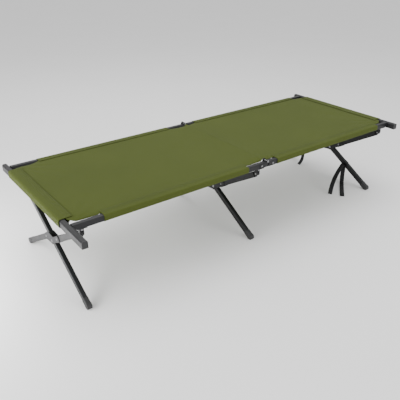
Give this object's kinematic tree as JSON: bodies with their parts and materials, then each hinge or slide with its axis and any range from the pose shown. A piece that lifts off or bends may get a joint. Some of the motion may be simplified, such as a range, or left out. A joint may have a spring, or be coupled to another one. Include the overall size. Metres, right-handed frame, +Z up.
{
  "type": "folding field bed",
  "caption": "Folding field bed or stretcher: fabric bed on hinged tubular side rails with scissor legs that swing flat, and end bars that pull off.",
  "frame": {"origin": "centre of the footprint, on the floor", "axes": "+X along the bed towards the end with the shorter end bar, +Y across the bed towards the back rail, +Z up"},
  "size_m": [1.9554, 0.84, 0.441],
  "materials": {
    "black_steel": "satin black powder coat",
    "bright_steel": "zinc plated",
    "black_plastic": "moulded, fine grain",
    "olive_fabric": "coated woven polyester, matt",
    "black_webbing": "woven webbing"
  },
  "bodies": {
    "front_left": {"front_rail_left": "black_steel", "front_plug_left": "black_plastic", "front_hangers_left": "black_steel", "front_leaf_left": "black_steel", "front_pins_left": "bright_steel", "bed_fabric_left": "olive_fabric"},
    "front_right": {"front_rail_right": "black_steel", "front_plug_right": "black_plastic", "front_hanger_right": "black_steel", "front_leaf_right": "black_steel", "front_pins_right": "bright_steel", "bed_fabric_right": "olive_fabric"},
    "back_left": {"back_rail_left": "black_steel", "back_plug_left": "black_plastic", "back_hangers_left": "black_steel", "back_leaf_left": "black_steel", "back_pins_left": "bright_steel"},
    "back_right": {"back_rail_right": "black_steel", "back_plug_right": "black_plastic", "back_hanger_right": "black_steel", "back_leaf_right": "black_steel", "back_pins_right": "bright_steel"},
    "yoke_front_left": {"yoke_front_left": "black_steel"},
    "back_leg_left": {"back_leg_upper_left": "black_steel", "back_leg_lower_left": "black_steel", "saddle_left": "black_steel", "back_foot_left": "black_plastic", "back_leg_rivets_left": "bright_steel"},
    "front_leg_left": {"front_leg_left": "black_steel", "front_foot_left": "black_plastic", "front_leg_pin_left": "bright_steel"},
    "yoke_back_left": {"yoke_back_left": "black_steel"},
    "yoke_front_middle": {"yoke_front_middle": "black_steel"},
    "back_leg_middle": {"back_leg_upper_middle": "black_steel", "back_leg_lower_middle": "black_steel", "saddle_middle": "black_steel", "back_foot_middle": "black_plastic", "back_leg_rivets_middle": "bright_steel"},
    "front_leg_middle": {"front_leg_middle": "black_steel", "front_foot_middle": "black_plastic", "front_leg_pin_middle": "bright_steel"},
    "yoke_back_middle": {"yoke_back_middle": "black_steel"},
    "yoke_front_right": {"yoke_front_right": "black_steel"},
    "back_leg_right": {"back_leg_upper_right": "black_steel", "back_leg_lower_right": "black_steel", "saddle_right": "black_steel", "back_foot_right": "black_plastic", "back_leg_rivets_right": "bright_steel", "back_leg_strap": "black_webbing"},
    "front_leg_right": {"front_leg_right": "black_steel", "front_foot_right": "black_plastic", "front_leg_pin_right": "bright_steel", "front_leg_strap": "black_webbing"},
    "yoke_back_right": {"yoke_back_right": "black_steel"},
    "end_bar_left": {"end_bar_left": "black_steel", "bar_caps_left": "black_plastic", "end_sleeve_left": "olive_fabric"},
    "end_bar_right": {"end_bar_right": "black_steel", "bar_caps_right": "black_plastic", "end_sleeve_right": "olive_fabric"}
  },
  "joints": [
    {"name": "rail_fold", "type": "hinge", "parent": "front_left", "child": "front_right", "pos_m": [0.02, -0.285, 0.434], "axis": [0, -1, 0], "range_deg": [0, 180]},
    {"name": "swing_left", "type": "hinge", "parent": "front_left", "child": "yoke_front_left", "pos_m": [-0.91, -0.267, 0.391], "axis": [0, -1, 0], "range_deg": [0, 90]},
    {"name": "swing_middle", "type": "hinge", "parent": "front_left", "child": "yoke_front_middle", "pos_m": [-0.015, -0.267, 0.391], "axis": [0, 1, 0], "range_deg": [0, 78]},
    {"name": "swing_right", "type": "hinge", "parent": "front_right", "child": "yoke_front_right", "pos_m": [0.92, -0.267, 0.391], "axis": [0, 1, 0], "range_deg": [0, 90], "deforming": ["front_leg_strap", "back_leg_strap"]},
    {"name": "legs_close", "type": "hinge", "parent": "yoke_front_left", "child": "back_leg_left", "pos_m": [-0.91, -0.267, 0.37], "axis": [-1, 0, 0], "range_deg": [0, 45], "deforming": ["bed_fabric_left", "bed_fabric_right", "end_sleeve_left", "end_sleeve_right"]},
    {"name": "cross_left", "type": "hinge", "parent": "back_leg_left", "child": "front_leg_left", "pos_m": [-0.91, 0.045, 0.185], "axis": [1, 0, 0], "range_deg": [0, 90]},
    {"name": "back_top_left", "type": "hinge", "parent": "front_leg_left", "child": "yoke_back_left", "pos_m": [-0.91, 0.357, 0.37], "axis": [-1, 0, 0], "range_deg": [0, 45]},
    {"name": "legs_close_middle", "type": "hinge", "parent": "yoke_front_middle", "child": "back_leg_middle", "pos_m": [-0.015, -0.267, 0.37], "axis": [-1, 0, 0], "range_deg": [0, 45]},
    {"name": "cross_middle", "type": "hinge", "parent": "back_leg_middle", "child": "front_leg_middle", "pos_m": [-0.015, 0.045, 0.185], "axis": [1, 0, 0], "range_deg": [0, 90]},
    {"name": "back_top_middle", "type": "hinge", "parent": "front_leg_middle", "child": "yoke_back_middle", "pos_m": [-0.015, 0.357, 0.37], "axis": [-1, 0, 0], "range_deg": [0, 45]},
    {"name": "legs_close_right", "type": "hinge", "parent": "yoke_front_right", "child": "back_leg_right", "pos_m": [0.92, -0.267, 0.37], "axis": [-1, 0, 0], "range_deg": [0, 45]},
    {"name": "cross_right", "type": "hinge", "parent": "back_leg_right", "child": "front_leg_right", "pos_m": [0.92, 0.045, 0.185], "axis": [1, 0, 0], "range_deg": [0, 90]},
    {"name": "back_top_right", "type": "hinge", "parent": "front_leg_right", "child": "yoke_back_right", "pos_m": [0.92, 0.357, 0.37], "axis": [-1, 0, 0], "range_deg": [0, 45]},
    {"name": "back_rail_level", "type": "hinge", "parent": "yoke_back_left", "child": "back_left", "pos_m": [-0.91, 0.357, 0.391], "axis": [0, 1, 0], "range_deg": [0, 90]},
    {"name": "back_rail_fold", "type": "hinge", "parent": "back_left", "child": "back_right", "pos_m": [0.02, 0.375, 0.434], "axis": [0, -1, 0], "range_deg": [0, 180]},
    {"name": "end_bar_left_pull", "type": "slide", "parent": "front_left", "child": "end_bar_left", "axis": [-1, 0, 0], "range_m": [0, 0.012]},
    {"name": "end_bar_right_pull", "type": "slide", "parent": "front_right", "child": "end_bar_right", "axis": [1, 0, 0], "range_m": [0, 0.012]}
  ],
  "couplings": [
    {"joint": "cross_left", "follows": "legs_close", "ratio": 2},
    {"joint": "back_top_left", "follows": "legs_close", "ratio": 1},
    {"joint": "legs_close_middle", "follows": "legs_close", "ratio": 1},
    {"joint": "cross_middle", "follows": "legs_close", "ratio": 2},
    {"joint": "back_top_middle", "follows": "legs_close", "ratio": 1},
    {"joint": "legs_close_right", "follows": "legs_close", "ratio": 1},
    {"joint": "cross_right", "follows": "legs_close", "ratio": 2},
    {"joint": "back_top_right", "follows": "legs_close", "ratio": 1},
    {"joint": "back_rail_level", "follows": "swing_left", "ratio": 1},
    {"joint": "back_rail_fold", "follows": "rail_fold", "ratio": 1}
  ]
}
